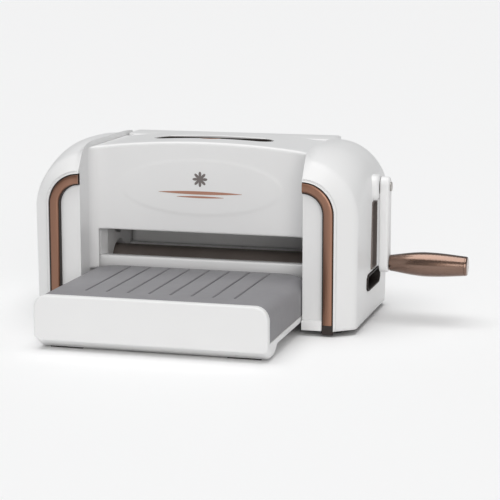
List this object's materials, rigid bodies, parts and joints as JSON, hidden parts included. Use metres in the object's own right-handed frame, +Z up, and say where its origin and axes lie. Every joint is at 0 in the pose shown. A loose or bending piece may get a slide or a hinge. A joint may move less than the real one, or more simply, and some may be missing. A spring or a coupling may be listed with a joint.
{
  "type": "die cutting machine",
  "caption": "Tabletop hand-cranked die cutting machine: white arched body, copper-coloured trims, two steel rollers and two feed trays, the front one folded out and the rear one closed.",
  "frame": {"origin": "on the table, under the middle of the body, at the underside of the centre pad", "axes": "+X to the right, the crank side; +Y to the back; +Z up"},
  "size_m": [0.454, 0.3354, 0.1916],
  "materials": {
    "white_shell": "satin white moulded ABS",
    "copper_trim": "satin copper metallic",
    "rose_gold_grip": "polished rose-gold metallic",
    "grey_deck": "matt mid-grey",
    "dark_plastic": "matt dark brown-black",
    "black_rubber": "matt",
    "bright_steel": "turned and ground",
    "frame_steel": "cut plate",
    "bronze": "sintered"
  },
  "bodies": {
    "base": {"left_casing": "white_shell", "right_casing": "white_shell", "centre_shell": "white_shell", "handle_pocket": "dark_plastic", "handle_inlay": "copper_trim", "front_ledge": "white_shell", "rear_ledge": "white_shell", "left_cheek": "white_shell", "right_cheek": "white_shell", "base_plate": "frame_steel", "left_side_frame": "frame_steel", "right_side_frame": "frame_steel", "roller_bushes": "bronze", "tie_rods": "bright_steel", "tie_rod_nuts": "bright_steel", "crank_bushes": "bronze", "side_channel_liner": "dark_plastic", "right_pocket_liner": "dark_plastic", "left_pocket_liner": "dark_plastic", "left_front_trim": "copper_trim", "left_rear_trim": "copper_trim", "right_front_trim": "copper_trim", "right_rear_trim": "copper_trim", "trim_feet": "dark_plastic", "rubber_feet": "black_rubber", "centre_pad": "black_rubber", "front_hinge_pins": "bright_steel", "rear_hinge_pins": "bright_steel"},
    "crank": {"crank_shaft": "bright_steel", "crank_pinion": "frame_steel", "crank_washer": "dark_plastic", "crank_arm": "white_shell", "arm_screw": "bright_steel", "grip_spindle": "bright_steel"},
    "grip": {"grip_sleeve": "rose_gold_grip", "grip_end_cap": "rose_gold_grip"},
    "upper_roller_set": {"upper_roller": "bright_steel", "upper_roller_gear": "frame_steel", "upper_roller_gear_clip": "bright_steel"},
    "lower_roller_set": {"lower_roller": "bright_steel", "lower_roller_gear": "frame_steel", "lower_roller_gear_clip": "bright_steel"},
    "front_tray": {"front_tray_skin": "white_shell", "front_tray_deck": "grey_deck", "front_tray_pads": "black_rubber"},
    "rear_tray": {"rear_tray_skin": "white_shell", "rear_tray_deck": "white_shell", "rear_tray_pads": "black_rubber"}
  },
  "joints": [
    {"name": "crank_turn", "type": "hinge", "parent": "base", "child": "crank", "pos_m": [0.18, 0.007, 0.1435], "axis": [1, 0, 0], "continuous": true},
    {"name": "grip_spin", "type": "hinge", "parent": "crank", "child": "grip", "pos_m": [0.23, 0.007, 0.0615], "axis": [1, 0, 0], "continuous": true},
    {"name": "upper_roller_turn", "type": "hinge", "parent": "base", "child": "upper_roller_set", "pos_m": [0, 0, 0.1059], "axis": [1, 0, 0], "continuous": true},
    {"name": "lower_roller_turn", "type": "hinge", "parent": "base", "child": "lower_roller_set", "pos_m": [0, 0, 0.0519], "axis": [1, 0, 0], "continuous": true},
    {"name": "front_tray_fold", "type": "hinge", "parent": "base", "child": "front_tray", "pos_m": [0, -0.0745, 0.0349], "axis": [-1, 0, 0], "range_deg": [0, 90]},
    {"name": "rear_tray_fold", "type": "hinge", "parent": "base", "child": "rear_tray", "pos_m": [0, 0.0745, 0.0349], "axis": [-1, 0, 0], "range_deg": [0, 90]}
  ],
  "couplings": [
    {"joint": "upper_roller_turn", "follows": "crank_turn", "ratio": -0.41667},
    {"joint": "lower_roller_turn", "follows": "crank_turn", "ratio": 0.41667}
  ]
}
